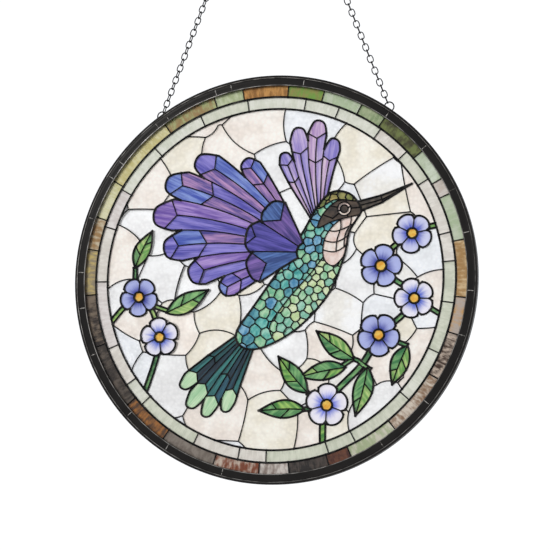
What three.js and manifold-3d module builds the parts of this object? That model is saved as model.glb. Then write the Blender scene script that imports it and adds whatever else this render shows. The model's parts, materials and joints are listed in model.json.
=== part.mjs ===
// A round leaded-glass suncatcher hanging on two chains, in millimetres, +Z up, front towards -Y.
// The origin is the inside top of the hanging ring, where a hook carries the whole piece.
import * as THREE from 'three';
import { mergeVertices } from 'three/addons/utils/BufferGeometryUtils.js';
import Module from 'manifold-3d';

const wasm = await Module();
wasm.setup();

// ---- Driving sizes -------------------------------------------------------------------------

const PANEL_RADIUS = 150;        // a 12 inch panel
const RIM_INNER_RADIUS = 142.5;  // edge of the metal lip over the glass
const RIM_HALF_DEPTH = 4.5;
const CHANNEL_RADIUS = 144.8;    // how far out the rim's channel lets the glass in
const OUTER_RING_RADIUS = 134.25; // lead line between the two rows of border tiles
const INNER_RING_RADIUS = 125.25; // lead line round the picture

const GLASS_HALF = 1.5;          // half of the glass thickness
const LEAD_HALF = 2.5;           // half of the depth of the soldered lead lines
const LEAD_WIDTH = 1.8;          // from glass edge to glass edge
const GAP = 0.3;                 // clearance between neighbouring solids
const CUT_HALF = 6;              // reach of the cutting prisms
const SEGMENTS = 48;             // sides of every large circle,
const FLAT = Math.cos(Math.PI / SEGMENTS); // whose middles are this much nearer to the centre

const RING_INSIDE = 6.5;         // hanging ring: inside radius
const RING_WIRE = 1;             // and wire radius
const LINK_WIRE = 0.5;           // chain link: wire radius
const LINK_HALF_WIDTH = 2.1;     // centre line of the wire
const LINK_HALF_LENGTH = 2.85;
const LINK_SIDES = 4;
const LINK_BITE = 0.1;           // how far one link sinks into the next, so that they are one body
const JUMP_RADIUS = 3.5;         // bottom ring of each chain, centre line of the wire
const JUMP_FROM_CENTRE = 151.5;  // its centre, measured from the panel's centre
const JUMP_ANGLE = 34.6;         // degrees from the vertical
const HANG_HEIGHT = 351.4;       // from the panel's centre up to the hanging ring's centre
const HANG_PLANE = 5.4;          // the chains hang this far behind the panel's middle plane
const STAPLE_RADIUS = 2.1;       // wire eye on the back of the rim, centre line
const STAPLE_FROM_CENTRE = 147.4;

// Joints between the tiles of the two border rows, in degrees clockwise from the top.
const OUTER_JOINTS = [
  5, 16, 28, 36, 51, 61, 66, 80, 97, 108, 122, 141, 156, 163, 175, 184, 198, 215, 230, 250, 266, 280,
  290, 302, 325, 342, 351,
];
const INNER_JOINTS = [
  11, 22, 37, 48, 59, 77, 86, 99, 115, 132, 153, 162, 182, 191, 206, 227, 235, 248, 270, 288, 301,
  318, 336, 352,
];

const PETALS = 5;
const NOTCH = 0.78;              // how far in the notches between petals are, against the petals' reach
const FLOWER_CENTRE = 0.27;      // and the round centre

// ---- Outlines in the picture plane: x to the right, y up, from the panel's centre -------------

const point = (x, y) => new THREE.Vector2(x, y);

function polar(centre, degrees, radius) {
  const angle = THREE.MathUtils.degToRad(degrees);
  return point(centre.x + radius * Math.cos(angle), centre.y + radius * Math.sin(angle));
}

function circle(centre, radius, sides, start = 0) {
  return Array.from({ length: sides }, (_, i) => polar(centre, start + (360 * i) / sides, radius));
}

// A closed smooth line through a few points.
function smooth(pairs, divisions) {
  const through = pairs.map(([x, y]) => new THREE.Vector3(x, y, 0));
  const curve = new THREE.CatmullRomCurve3(through, true, 'catmullrom', 0.5);
  return curve.getPoints(divisions).slice(0, -1).map((p) => point(p.x, p.y));
}

// A pointed oval leaf, its middle line bent sideways by `bend` at the tip.
function leaf(base, degrees, length, width, bend = 0) {
  const stations = [0.2, 0.5, 0.8];
  const side = (sign) => stations.map((t) => point(
    t * length,
    sign * (width / 2) * Math.sin(Math.PI * t ** 0.85) + bend * t * t,
  ));
  const local = [point(0, 0), ...side(-1), point(length, bend), ...side(1).reverse()];
  return local.map((p) => p.rotateAround(point(0, 0), THREE.MathUtils.degToRad(degrees)).add(base));
}

// A five-petalled rosette: a notch and two petal points for each petal.
function rosette(centre, radius, turn) {
  const step = 360 / PETALS;
  const outline = [];
  for (let i = 0; i < PETALS; i += 1) {
    outline.push(
      polar(centre, turn + step * i, radius * NOTCH),
      polar(centre, turn + step * (i + 0.28), radius),
      polar(centre, turn + step * (i + 0.72), radius),
    );
  }
  return outline;
}

// Feathers side by side: feather k lies between ribs k and k + 1 and is lengths[k] long. The ribs
// leave the pivot at the given angles, start `root` away from it and curve by `bend` degrees.
function feathers(pivot, ribs, lengths, root, bend) {
  const rib = (degrees, r) => polar(pivot, degrees + bend * (Math.max(r - root, 0) / 100) ** 1.5, r);
  return lengths.map((length, k) => {
    const span = ribs[k + 1] - ribs[k];
    const reach = length - root;
    const along = (degrees, stations) => stations.map((t) => rib(degrees, root + reach * t));
    const tip = [rib(ribs[k] + span * 0.3, length), rib(ribs[k] + span * 0.75, length * 0.98)];
    return [...along(ribs[k], [0, 0.45, 0.88]), ...tip, ...along(ribs[k + 1], [0.86, 0.45, 0])];
  });
}

const isCounterClockwise = (outline) => THREE.ShapeUtils.area(outline) > 0;

// Moves every side of a closed outline outwards by `distance`, or inwards where it is negative.
function offset(outline, distance) {
  const loop = isCounterClockwise(outline) ? outline : [...outline].reverse();
  return loop.map((p, i) => {
    const before = loop[(i + loop.length - 1) % loop.length];
    const after = loop[(i + 1) % loop.length];
    const first = p.clone().sub(before).normalize();
    const second = after.clone().sub(p).normalize();
    const normal = point(first.y + second.y, -first.x - second.x);
    const spread = Math.max(1 + first.dot(second), distance > 0 ? 0.25 : 0.02);
    return p.clone().addScaledVector(normal, distance / spread);
  });
}

// A strip of the given width along an open line.
function strip(line, width) {
  const side = (sign) => line.map((p, i) => {
    const before = line[Math.max(i - 1, 0)];
    const after = line[Math.min(i + 1, line.length - 1)];
    const along = after.clone().sub(before).normalize();
    return point(p.x - along.y * sign * width / 2, p.y + along.x * sign * width / 2);
  });
  return [...side(-1), ...side(1).reverse()];
}

// ---- Solids ----------------------------------------------------------------------------------

function manifoldOf(geometry) {
  const bare = geometry.clone();
  bare.deleteAttribute('normal');
  bare.deleteAttribute('uv');
  const welded = mergeVertices(bare, 1e-4);
  const vertProperties = new Float32Array(welded.attributes.position.array);
  const triVerts = new Uint32Array(welded.index.array);
  return new wasm.Manifold(new wasm.Mesh({ numProp: 3, vertProperties, triVerts }));
}

function geometryOf(solid) {
  const { vertProperties, triVerts, numProp } = solid.getMesh();
  const geometry = new THREE.BufferGeometry();
  const positions = new Float32Array((vertProperties.length / numProp) * 3);
  for (let i = 0; i < positions.length / 3; i += 1) {
    for (let axis = 0; axis < 3; axis += 1) positions[3 * i + axis] = vertProperties[numProp * i + axis];
  }
  geometry.setAttribute('position', new THREE.BufferAttribute(positions, 3));
  geometry.setIndex(new THREE.BufferAttribute(new Uint32Array(triVerts), 1));
  geometry.computeVertexNormals();
  return geometry;
}

// A prism over an outline of the picture plane, from one depth (y) to another.
function prism(outline, front, back, holes = []) {
  const loop = isCounterClockwise(outline) ? outline : [...outline].reverse();
  const shape = new THREE.Shape(loop);
  shape.holes = holes.map((hole) => new THREE.Path(hole));
  const geometry = new THREE.ExtrudeGeometry(shape, { depth: back - front, bevelEnabled: false });
  geometry.rotateX(Math.PI / 2).translate(0, back, 0);
  return manifoldOf(geometry);
}

const joined = (solids) => solids.reduce((sum, solid) => sum.add(solid));

// ---- The picture: its pieces of glass, from the lowest to the topmost ---------------------------

const GLASS = {
  ground: [0xf1ece0, 0.18],
  leaf: [0x5f9150, 0.2],
  petal: [0x8f9fe6, 0.2],
  centre: [0xe9a92c, 0.2],
  farWing: [0xa58fd0, 0.2],
  nearWing: [0x6c63b8, 0.2],
  covert: [0x4c3f93, 0.2],
  tail: [0x1f4f66, 0.2],
  back: [0x52aaa0, 0.2],
  breast: [0x9fce9a, 0.2],
  throat: [0xe9d3c4, 0.2],
  crown: [0x7c7c3e, 0.2],
  cheek: [0x3a3028, 0.2],
  bill: [0x4a4238, 0.25],
  outerBorder: [0x8a9a66, 0.18],
  innerBorder: [0xcfcdb8, 0.18],
};

const CENTRE = point(0, 0);
const PICTURE_EDGE = circle(CENTRE, INNER_RING_RADIUS, SEGMENTS);

const BODY = smooth([
  [66, 49], [58, 60], [45, 62], [34, 52], [24, 35], [8, 10], [-12, -18], [-27, -40], [-21, -51],
  [-5, -50], [20, -36], [42, -12], [53, 14], [57, 32], [63, 42],
], 24);
const BREAST = smooth([[44, 20], [28, 2], [10, -18], [-2, -38], [14, -52], [50, -30], [70, 6], [58, 18]], 14);
const THROAT = smooth([[72, 47], [52, 42], [40, 30], [38, 14], [46, 8], [58, 20], [72, 30]], 12);
const CROWN = smooth([[76, 52], [60, 55], [46, 56], [34, 50], [26, 58], [46, 74], [70, 70]], 12);
const CHEEK = smooth([[74, 51], [60, 55], [48, 55], [38, 46], [34, 36], [44, 40], [56, 43], [72, 46]], 14);
const BILL = [point(62, 54), point(80, 58), point(103, 66), point(81, 53), point(62, 46)];

const NEAR_PIVOT = point(26, 18);
const FAR_PIVOT = point(36, 32);
const TAIL_PIVOT = point(-4, -28);
const NEAR_BEND = 9;

const FLOWERS = [
  { at: point(103, 30), radius: 14, turn: 10 },
  { at: point(80, 7), radius: 15, turn: 40 },
  { at: point(104, -17), radius: 14, turn: 70 },
  { at: point(78, -43), radius: 15, turn: 20 },
  { at: point(40, -93), radius: 15, turn: 50 },
  { at: point(-101, -12), radius: 14, turn: 15 },
  { at: point(-85, -42), radius: 14, turn: 60 },
];

const LEAVES = [
  leaf(point(99, -51), -118, 30, 13, 3),
  leaf(point(70, -66), -100, 36, 14, -3),
  leaf(point(60, -60), 148, 34, 14, -3),
  leaf(point(54, -66), 186, 34, 13, 3),
  leaf(point(24, -96), 176, 34, 13, 3),
  leaf(point(26, -84), 134, 34, 14, -3),
  leaf(point(-80, -24), 22, 36, 14, 3),
  leaf(point(-104, 10), 70, 30, 12, -3),
];

// The ground is cut into wide panes by straight lines that run out from under the bird.
const HUB = point(24, 0);
const GROUND_CUTS = [28, 86, 140, 228, 297, 388];

function wedge(from, to) {
  const steps = Math.ceil((to - from) / 45);
  const rim = Array.from({ length: steps + 1 }, (_, i) => (
    polar(HUB, from + ((to - from) * i) / steps, 2 * PANEL_RADIUS)
  ));
  return [HUB, ...rim];
}

// Stems and short lead lines that lie on the ground panes and tie leaves and flowers to the rest.
const STEMS = [
  [point(125, 36), point(103, 30), point(80, 7), point(104, -17), point(78, -43)],
  [point(120, -30), point(104, -17)],
  [point(78, -43), point(66, -64), point(40, -93), point(38, -119)],
  [point(54, -66), point(60, -60), point(66, -64), point(70, -66)],
  [point(99, -51), point(78, -43)],
  [point(24, -96), point(40, -93), point(26, -84)],
  [point(-119, -36), point(-101, -12), point(-85, -42), point(-96, -78)],
  [point(-80, -24), point(-101, -12), point(-104, 10)],
];

function picturePieces() {
  const pieces = [];
  const place = (name, outline, glass, within) => pieces.push({ name, outline, glass, within });
  GROUND_CUTS.slice(1).forEach((to, i) => {
    place(`ground_pane_${i + 1}`, wedge(GROUND_CUTS[i], to), GLASS.ground, PICTURE_EDGE);
  });
  LEAVES.forEach((outline, i) => place(`leaf_${i + 1}`, outline, GLASS.leaf));
  FLOWERS.forEach(({ at, radius, turn }, i) => {
    place(`flower_${i + 1}_petals`, rosette(at, radius, turn), GLASS.petal);
    place(`flower_${i + 1}_centre`, circle(at, radius * FLOWER_CENTRE, 6), GLASS.centre);
  });
  feathers(FAR_PIVOT, [124, 113, 102, 91, 80], [66, 80, 83, 70], 12, -10)
    .forEach((outline, i) => place(`far_wing_feather_${i + 1}`, outline, GLASS.farWing));
  feathers(TAIL_PIVOT, [211, 220, 229, 238, 247], [82, 88, 86, 76], 14, 6)
    .forEach((outline, i) => place(`tail_feather_${i + 1}`, outline, GLASS.tail));
  place('bill', BILL, GLASS.bill);
  place('back_and_rump', BODY, GLASS.back);
  place('breast', BREAST, GLASS.breast, BODY);
  place('throat', THROAT, GLASS.throat, BODY);
  place('crown', CROWN, GLASS.crown, BODY);
  place('cheek', CHEEK, GLASS.cheek, BODY);
  feathers(NEAR_PIVOT, [114, 126, 138, 150, 163, 177, 192, 207], [84, 110, 120, 120, 108, 90, 70], 24, NEAR_BEND)
    .forEach((outline, i) => place(`wing_feather_${i + 1}`, outline, GLASS.nearWing));
  feathers(NEAR_PIVOT, [112, 144, 176, 209], [46, 48, 46], 8, NEAR_BEND)
    .forEach((outline, i) => place(`wing_covert_${i + 1}`, outline, GLASS.covert));
  return pieces;
}

// The part of the plane that a piece takes, grown or shrunk, as a prism.
function region(piece, distance, half) {
  const own = prism(offset(piece.outline, distance), -half, half);
  if (!piece.within) return own;
  return own.intersect(prism(offset(piece.within, distance), -CUT_HALF, CUT_HALF));
}

// A piece without what the pieces above it take, with `edge` left to the middle of the lead line.
function visible(pieces, index, edge, half) {
  return pieces.slice(index + 1).reduce(
    (rest, above) => rest.subtract(region(above, edge, CUT_HALF)),
    region(pieces[index], -edge, half),
  );
}

// ---- Border, lead lines and rim ------------------------------------------------------------------

function annulus(inner, outer, front, back) {
  return prism(circle(CENTRE, outer, SEGMENTS), front, back, [circle(CENTRE, inner, SEGMENTS)]);
}

// A flat lead bar on the front of the glass, which runs on beneath it.
function frontBar(line) {
  return prism(strip(line, LEAD_WIDTH), -LEAD_HALF, -GLASS_HALF - GAP);
}

// Bars over the joints between the tiles of a border ring.
function borderBars(joints, from, to) {
  return joined(joints.map((clockwise) => (
    frontBar([polar(CENTRE, 90 - clockwise, from), polar(CENTRE, 90 - clockwise, to)])
  )));
}

// Bars between the petals of each flower, from the ring round its centre to its edge.
function petalBars() {
  return joined(FLOWERS.flatMap(({ at, radius, turn }) => Array.from({ length: PETALS }, (_, i) => {
    const degrees = turn + (360 * i) / PETALS;
    return frontBar([polar(at, degrees, radius * FLOWER_CENTRE), polar(at, degrees, radius * NOTCH)]);
  })));
}

function stemBars(pieces) {
  const bars = joined(STEMS.map(frontBar));
  return pieces.filter(({ name }) => !name.startsWith('ground'))
    .reduce((rest, piece) => rest.subtract(region(piece, -LEAD_WIDTH / 4, CUT_HALF)), bars);
}

function leading(pieces) {
  const half = LEAD_WIDTH / 2 - GAP;
  const disc = prism(circle(CENTRE, OUTER_RING_RADIUS + half, SEGMENTS), -LEAD_HALF, LEAD_HALF);
  const tileHole = annulus(INNER_RING_RADIUS + half, OUTER_RING_RADIUS - half, -CUT_HALF, CUT_HALF);
  const holes = joined(pieces.map((_, i) => visible(pieces, i, half, CUT_HALF)));
  return disc.subtract(tileHole).subtract(holes)
    .add(stemBars(pieces))
    .add(petalBars())
    .add(borderBars(INNER_JOINTS, INNER_RING_RADIUS, OUTER_RING_RADIUS))
    .add(borderBars(OUTER_JOINTS, OUTER_RING_RADIUS, RIM_INNER_RADIUS * FLAT - GAP));
}

// Section of the rim, from the lip over the glass round the back to the front: radius and depth.
function rimGeometry() {
  const mouth = GLASS_HALF + GAP;
  const half = [
    [RIM_INNER_RADIUS, mouth], [RIM_INNER_RADIUS, 4.2], [147.9, 3.9], [149.1, RIM_HALF_DEPTH], [PANEL_RADIUS, 3.6],
  ];
  const front = half.map(([radius, depth]) => [radius, -depth]).reverse();
  const profile = [[CHANNEL_RADIUS, mouth], ...half, ...front, [CHANNEL_RADIUS, -mouth], [CHANNEL_RADIUS, mouth]];
  return new THREE.LatheGeometry(profile.map(([radius, depth]) => point(radius, depth)).reverse(), SEGMENTS);
}

// ---- Hanger -------------------------------------------------------------------------------------

// One link standing in the XZ plane: a ring of three-sided wire, an edge of it turned inwards so
// that two links meet edge to edge, with flats at its ends and its halves pulled apart along Z.
function link(halfWidth, halfLength, sides) {
  const section = [[-1.1, 0], [0.9, -1], [0.9, 1], [-1.1, 0]];
  const toCorner = 1 / Math.cos(Math.PI / sides);
  const profile = section.map(([out, across]) => (
    point((halfWidth + out * LINK_WIRE) * toCorner, across * LINK_WIRE)
  ));
  const geometry = new THREE.LatheGeometry(profile, sides, Math.PI / sides);
  const position = geometry.attributes.position;
  for (let i = 0; i < position.count; i += 1) {
    const z = position.getZ(i);
    position.setZ(i, z + Math.sign(z) * (halfLength - halfWidth));
  }
  return geometry;
}

// From the hanging ring's centre down to the jump ring on one side.
function chain(side) {
  const angle = THREE.MathUtils.degToRad(JUMP_ANGLE);
  const foot = point(JUMP_FROM_CENTRE * Math.sin(angle), JUMP_FROM_CENTRE * Math.cos(angle) - HANG_HEIGHT);
  const slope = Math.atan2(foot.x, -foot.y);
  const first = RING_INSIDE - LINK_WIRE - GAP + LINK_HALF_LENGTH;
  const last = foot.length() - JUMP_RADIUS + 2 * LINK_WIRE - LINK_BITE - LINK_HALF_LENGTH;
  const pitch = 2 * LINK_HALF_LENGTH - 2 * LINK_WIRE + LINK_BITE;
  const count = Math.round((last - first) / pitch / 2) * 2;
  const links = [];
  for (let i = 0; i <= count; i += 1) {
    const geometry = link(LINK_HALF_WIDTH, LINK_HALF_LENGTH, LINK_SIDES);
    geometry.rotateZ(i % 2 ? 0 : Math.PI / 2).translate(0, 0, -(first + ((last - first) * i) / count));
    links.push(manifoldOf(geometry));
  }
  const jump = link(JUMP_RADIUS, JUMP_RADIUS, 2 * LINK_SIDES).translate(0, 0, -foot.length());
  links.push(manifoldOf(jump));
  return geometryOf(joined(links)).rotateY(-side * slope);
}

// A wire eye soldered to the back of the rim: a half ring in a plane through the panel's axis.
function staple() {
  const ring = new THREE.TorusGeometry(STAPLE_RADIUS, LINK_WIRE, 6, 12).rotateY(Math.PI / 2);
  const behind = new THREE.BoxGeometry(4, 4, 12).translate(0, 2, 0);
  return geometryOf(manifoldOf(ring).intersect(manifoldOf(behind)));
}

// ---- Assembly -------------------------------------------------------------------------------------

const metal = new THREE.MeshStandardMaterial({ color: 0x16151a, roughness: 0.42, metalness: 0.75 });
const solder = new THREE.MeshStandardMaterial({ color: 0x1c1a1c, roughness: 0.48, metalness: 0.7 });

function glassMaterial([color, roughness]) {
  return new THREE.MeshStandardMaterial({ color, roughness, metalness: 0 });
}

function mesh(name, geometry, material) {
  const made = new THREE.Mesh(geometry, material);
  made.name = name;
  return made;
}

function panel() {
  const group = new THREE.Group();
  const pieces = picturePieces();
  pieces.forEach(({ name, glass }, i) => {
    const solid = visible(pieces, i, LEAD_WIDTH / 2, GLASS_HALF);
    group.add(mesh(name, geometryOf(solid), glassMaterial(glass)));
  });
  const edge = LEAD_WIDTH / 2;
  const inner = annulus(INNER_RING_RADIUS + edge, OUTER_RING_RADIUS - edge, -GLASS_HALF, GLASS_HALF);
  const outer = annulus(OUTER_RING_RADIUS + edge, CHANNEL_RADIUS - GAP, -GLASS_HALF, GLASS_HALF);
  group.add(mesh('inner_border_tiles', geometryOf(inner), glassMaterial(GLASS.innerBorder)));
  group.add(mesh('outer_border_tiles', geometryOf(outer), glassMaterial(GLASS.outerBorder)));
  group.add(mesh('lead_lines', geometryOf(leading(pieces)), solder));
  group.add(mesh('rim', geometryOf(manifoldOf(rimGeometry())), metal));
  [['left', -1], ['right', 1]].forEach(([side, sign]) => {
    const turned = new THREE.Group();
    const eye = mesh(`rim_eye_${side}`, staple(), solder);
    eye.position.set(0, RIM_HALF_DEPTH + GAP, STAPLE_FROM_CENTRE);
    turned.rotation.y = sign * THREE.MathUtils.degToRad(JUMP_ANGLE);
    turned.add(eye);
    group.add(turned);
  });
  group.position.set(0, -HANG_PLANE, -RING_INSIDE - HANG_HEIGHT);
  return group;
}

function hanger() {
  const group = new THREE.Group();
  const ring = new THREE.TorusGeometry(RING_INSIDE + RING_WIRE, RING_WIRE, 6, 24).rotateX(Math.PI / 2);
  group.add(mesh('hanging_ring', ring, metal));
  group.add(mesh('chain_left', chain(-1), metal));
  group.add(mesh('chain_right', chain(1), metal));
  group.position.z = -RING_INSIDE;
  return group;
}

const suncatcher = new THREE.Group();
suncatcher.add(hanger(), panel());

export default suncatcher;
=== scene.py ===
# %% [markdown]
# A round leaded-glass suncatcher: a picture of coloured glass, cut into many small panes, held
# together by soldered lead lines inside a dark metal rim, and hung on two chains.
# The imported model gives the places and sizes. This script makes the looks on top of it, and every
# new piece is built where the model says, in metres, with its object left at the origin.

# %% Load the fixed frame
import json
import math
import random

import bmesh
import bpy
import numpy as np
from mathutils import Matrix, Vector
from mathutils.geometry import delaunay_2d_cdt


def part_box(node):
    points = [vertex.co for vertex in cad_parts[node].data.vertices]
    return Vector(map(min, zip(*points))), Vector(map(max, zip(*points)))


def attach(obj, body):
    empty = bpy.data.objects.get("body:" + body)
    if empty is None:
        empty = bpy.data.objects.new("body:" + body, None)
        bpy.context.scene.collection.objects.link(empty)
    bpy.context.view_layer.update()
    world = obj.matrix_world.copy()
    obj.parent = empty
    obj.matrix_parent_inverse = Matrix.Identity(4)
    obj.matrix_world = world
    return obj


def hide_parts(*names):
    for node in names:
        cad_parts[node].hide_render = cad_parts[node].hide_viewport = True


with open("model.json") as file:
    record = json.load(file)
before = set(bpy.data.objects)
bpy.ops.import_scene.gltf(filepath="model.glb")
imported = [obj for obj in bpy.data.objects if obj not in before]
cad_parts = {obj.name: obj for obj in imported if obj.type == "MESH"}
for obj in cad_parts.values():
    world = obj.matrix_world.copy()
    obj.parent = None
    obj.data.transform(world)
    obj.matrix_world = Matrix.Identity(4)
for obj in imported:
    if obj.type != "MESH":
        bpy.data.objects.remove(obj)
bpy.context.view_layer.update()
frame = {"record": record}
MM = 0.001
rim_low, rim_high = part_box("rim")
centre = (rim_low + rim_high) / 2
panel_radius = (rim_high.x - rim_low.x) / 2 / MM
print("panel radius", round(panel_radius, 1), "mm, centre", [round(c, 4) for c in centre])

# %% [markdown]
# The camera stands to the right of the panel and a little below its middle, far enough away for
# the circle to stay nearly round, so its lens is long. The chains run out at the top of the frame.

# %% Camera
FRAME_WIDTH = 401.7 * MM
CAMERA_DISTANCE = 1.3
CAMERA_RIGHT = math.radians(12)
CAMERA_BELOW = math.radians(6.5)
SENSOR = 36.0
AIM = Vector((1.8, 0, 2.2)) * MM  # from the panel's middle to the middle of the view


def add_camera():
    data = bpy.data.cameras.new("camera")
    data.sensor_width = SENSOR
    data.lens = SENSOR * CAMERA_DISTANCE / FRAME_WIDTH
    data.clip_start = 0.05
    camera = bpy.data.objects.new("camera", data)
    bpy.context.collection.objects.link(camera)
    away = Vector((
        math.sin(CAMERA_RIGHT) * math.cos(CAMERA_BELOW),
        -math.cos(CAMERA_RIGHT) * math.cos(CAMERA_BELOW),
        -math.sin(CAMERA_BELOW),
    ))
    target = centre + AIM
    camera.location = target + away * CAMERA_DISTANCE
    camera.rotation_euler = (-away).to_track_quat("-Z", "Y").to_euler()
    return camera


bpy.context.scene.camera = add_camera()
print("lens", round(bpy.context.scene.camera.data.lens, 1), "mm")

# %% [markdown]
# The picture is drawn first as flat lines, in millimetres from the panel's centre, x to the right
# and y up. These small helpers are the drawing tools: points on circles, smooth lines through a
# few points, leaves, petals and feathers. The sizes are the same as in the model.

# %% Sizes of the leaded panel
GLASS_EDGE = 144.5
OUTER_RING = 134.25
INNER_RING = 125.25
GLASS_HALF = 1.5
PETALS = 5
NOTCH = 0.78
FLOWER_CENTRE = 0.27

OUTER_JOINTS = [
    5, 16, 28, 36, 51, 61, 66, 80, 97, 108, 122, 141, 156, 163, 175, 184, 198, 215, 230, 250, 266,
    280, 290, 302, 325, 342, 351,
]
INNER_JOINTS = [
    11, 22, 37, 48, 59, 77, 86, 99, 115, 132, 153, 162, 182, 191, 206, 227, 235, 248, 270, 288,
    301, 318, 336, 352,
]
print(len(OUTER_JOINTS), "outer tiles,", len(INNER_JOINTS), "inner tiles")


# %% Drawing tools
def polar(origin, degrees, radius):
    angle = math.radians(degrees)
    return (origin[0] + radius * math.cos(angle), origin[1] + radius * math.sin(angle))


def circle(origin, radius, sides):
    return [polar(origin, 360 * i / sides, radius) for i in range(sides)]


def between(a, b, t):
    return (a[0] + (b[0] - a[0]) * t, a[1] + (b[1] - a[1]) * t)


def smooth(points, step=1.6, closed=True):
    """A Catmull-Rom line through a few points, cut into steps of about the given length."""
    count = len(points)
    line = []
    for i in range(count if closed else count - 1):
        if closed:
            near = [points[(i + k) % count] for k in (-1, 0, 1, 2)]
        else:
            near = [points[min(max(i + k, 0), count - 1)] for k in (-1, 0, 1, 2)]
        a, b, c, d = (np.array(p, float) for p in near)
        parts = max(2, round(float(np.linalg.norm(c - b)) / step))
        for part in range(parts):
            t = part / parts
            p = 0.5 * (2 * b + (c - a) * t + (2 * a - 5 * b + 4 * c - d) * t * t
                       + (3 * b - a - 3 * c + d) * t ** 3)
            line.append((float(p[0]), float(p[1])))
    if not closed:
        line.append(tuple(points[-1]))
    return line


def strip(line, width):
    """A band along an open line, as a closed outline."""
    sides = ([], [])
    for i, p in enumerate(line):
        a, b = line[max(i - 1, 0)], line[min(i + 1, len(line) - 1)]
        along = Vector((b[0] - a[0], b[1] - a[1])).normalized()
        for side, sign in zip(sides, (-1, 1)):
            side.append((p[0] - along.y * sign * width / 2, p[1] + along.x * sign * width / 2))
    return sides[0] + sides[1][::-1]


# %% Leaf and rosette
LEAF_STEPS = 18
PETAL_STEPS = 10


def leaf(base, degrees, length, width, bend):
    """The outline of a pointed leaf and the line of its midrib."""
    turn = math.radians(degrees)

    def place(x, y):
        return (base[0] + x * math.cos(turn) - y * math.sin(turn),
                base[1] + x * math.sin(turn) + y * math.cos(turn))

    steps = [i / LEAF_STEPS for i in range(1, LEAF_STEPS)]

    def side(sign):
        return [place(t * length, sign * width / 2 * math.sin(math.pi * t ** 0.85) + bend * t * t)
                for t in steps]

    tip = place(length, bend)
    midrib = [place(t * length, bend * t * t) for t in [0.0] + steps] + [tip]
    return [tuple(base)] + side(-1) + [tip] + side(1)[::-1], midrib


def rosette(origin, radius, turn):
    """Five round petals, meeting in notches."""
    outline = []
    step = 360 / PETALS
    for petal in range(PETALS):
        for i in range(PETAL_STEPS):
            s = i / PETAL_STEPS
            swell = NOTCH + (1.03 - NOTCH) * math.sin(math.pi * s) ** 0.45
            outline.append(polar(origin, turn + step * (petal + s), radius * swell))
    return outline


# %% Feathers
FEATHER_STEP = 2.5
SHAFT_STEPS = 20


def feathers(pivot, ribs, lengths, root, bend):
    """Outlines of feathers side by side, sharing their ribs, and the middle line of each."""
    def rib(degrees, r):
        return polar(pivot, degrees + bend * (max(r - root, 0) / 100) ** 1.5, r)

    made = []
    for k, length in enumerate(lengths):
        a, b = ribs[k], ribs[k + 1]
        near_count = round((length * 0.9 - root) / FEATHER_STEP)
        far_count = round((length * 0.87 - root) / FEATHER_STEP)
        near = [rib(a, root + FEATHER_STEP * i) for i in range(near_count + 1)]
        far = [rib(b, root + FEATHER_STEP * i) for i in range(far_count + 1)]
        crest = [rib(a + (b - a) * 0.3, length), rib(a + (b - a) * 0.75, length * 0.98)]
        tip = smooth([near[-2], near[-1], *crest, far[-1], far[-2]], 1.6, closed=False)
        start = min(range(len(tip)), key=lambda i: math.dist(tip[i], near[-1])) + 1
        stop = min(range(len(tip)), key=lambda i: math.dist(tip[i], far[-1]))
        reach = length * 1.02 - root
        middle = [rib((a + b) / 2, root + reach * i / SHAFT_STEPS) for i in range(SHAFT_STEPS + 1)]
        made.append((near + tip[start:stop] + far[::-1], middle))
    return made


print("drawing tools ready")

# %% [markdown]
# A leaded picture is layered like cut paper: the ground lies lowest, then stems, leaves, flowers
# and the bird, and each piece takes its place away from the ones beneath it. So each figure is
# one outline in a list, from the lowest to the topmost, and some have lines that cut them into
# smaller panes, as a glazier must, because glass can't be cut round a sharp inner corner.

# %% Layers and cuts
layers = []
cuts = []


def layer(name, outline, glass, within=None, origin=(0.0, 0.0), along=0.0, size=1.0):
    layers.append({
        "name": name, "outline": outline, "glass": glass, "within": within,
        "origin": origin, "along": along, "size": size,
    })


def cut(name, line):
    cuts.append({"name": name, "line": line})


layer("outer_border", circle((0, 0), GLASS_EDGE, 180), "outer_border_glass")
layer("inner_border", circle((0, 0), OUTER_RING, 180), "inner_border_glass")
layer("ground", circle((0, 0), INNER_RING, 168), "ground_glass")
LIP = 142.1
for joint in OUTER_JOINTS:
    cut("outer_border", [polar((0, 0), 90 - joint, r) for r in (OUTER_RING - 0.01, LIP, GLASS_EDGE + 1)])
for joint in INNER_JOINTS:
    cut("inner_border", [polar((0, 0), 90 - joint, r) for r in (INNER_RING - 0.01, OUTER_RING + 0.01)])
print(len(layers), "layers and", len(cuts), "cuts so far")

# %% [markdown]
# Stems are narrow strips of green glass with a lead line on each side. They run under the
# flowers and leaves, so a smooth line from flower to flower is enough.

# %% Stems
FLOWERS = [
    ((103, 30), 14, 10), ((80, 7), 15, 40), ((104, -17), 14, 70), ((78, -43), 15, 20),
    ((40, -93), 15, 50), ((-101, -12), 14, 15), ((-85, -42), 14, 60),
]
STEMS = [
    ([(130, 37), (103, 30), (80, 7), (104, -17), (78, -43)], 3.4),
    ([(126, -31), (104, -17)], 3.0),
    ([(78, -43), (66, -64), (40, -93), (37, -128)], 4.0),
    ([(50, -66), (60, -60), (66, -64), (72, -68)], 2.8),
    ([(99, -51), (78, -43)], 2.8),
    ([(22, -96), (40, -93), (26, -84)], 2.8),
    ([(-128, -37), (-101, -12), (-85, -42), (-97, -86)], 3.4),
    ([(-78, -23), (-101, -12), (-104, 10)], 2.8),
]
for i, (line, width) in enumerate(STEMS):
    name = f"stem_{i + 1}"
    a, b = line[0], line[-1]
    layer(name, strip(smooth(line, 3.0, closed=False), width), "leaf_glass",
          within=circle((0, 0), INNER_RING, 168), origin=a,
          along=math.degrees(math.atan2(b[1] - a[1], b[0] - a[0])))
print(len(STEMS), "stems")

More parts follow.
